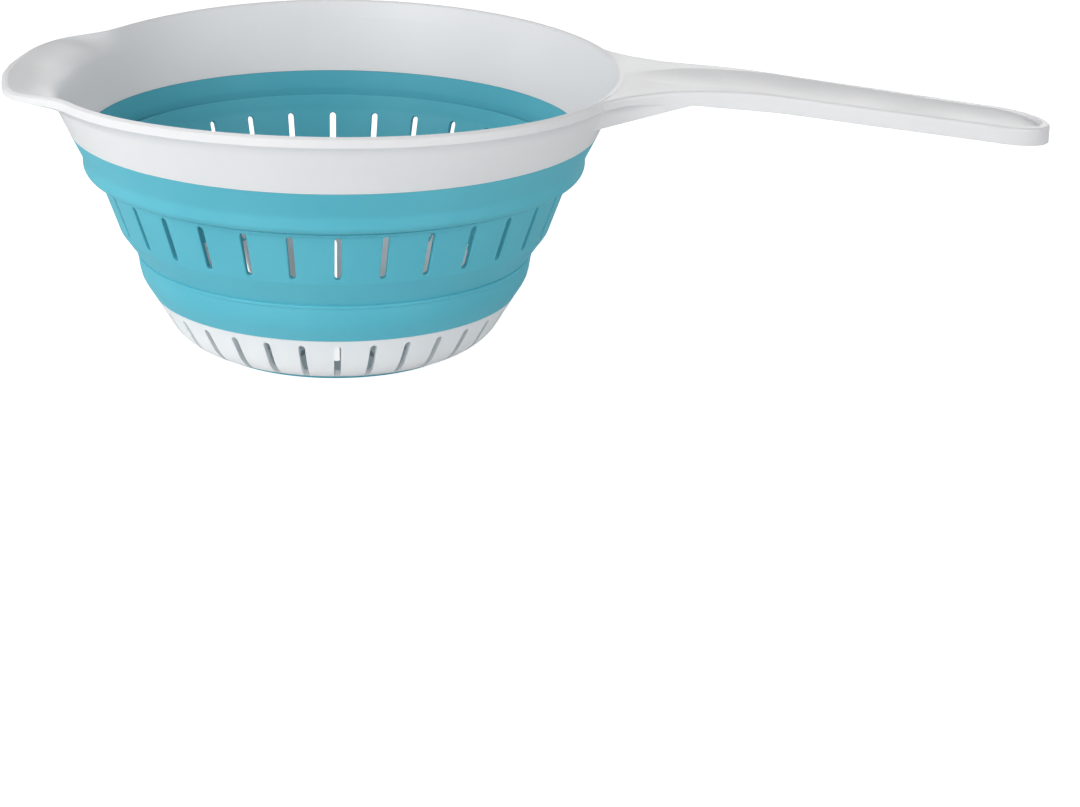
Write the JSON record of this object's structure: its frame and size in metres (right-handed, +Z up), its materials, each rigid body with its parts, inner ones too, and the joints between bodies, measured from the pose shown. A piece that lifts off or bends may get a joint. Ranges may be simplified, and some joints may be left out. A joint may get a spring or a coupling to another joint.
{
  "type": "collapsible colander",
  "caption": "Round kitchen colander with a pouring lip and a long handle. Its soft slotted wall folds down inside the rim for flat storage.",
  "frame": {"origin": "on the bowl's axis, in the plane that the foot ring stands on", "axes": "+X along the handle, +Z up along the bowl's axis, the pouring lip at -X"},
  "size_m": [0.3708, 0.2066, 0.1022],
  "materials": {
    "rim_plastic": "satin",
    "base_plastic": "satin",
    "soft_wall": "satin",
    "soft_ring": "satin",
    "foot_rubber": "satin"
  },
  "bodies": {
    "base": {"base_cup": "base_plastic", "foot_ring": "foot_rubber", "lower_fold": "soft_wall"},
    "middle": {"middle_ring": "soft_ring"},
    "rim": {"rim_frame": "rim_plastic", "upper_fold": "soft_wall"}
  },
  "joints": [
    {"name": "lower_fold_slide", "type": "slide", "parent": "base", "child": "middle", "axis": [0, 0, -1], "range_m": [0, 0.0262]},
    {"name": "upper_fold_slide", "type": "slide", "parent": "middle", "child": "rim", "axis": [0, 0, -1], "range_m": [0, 0.0274]}
  ]
}
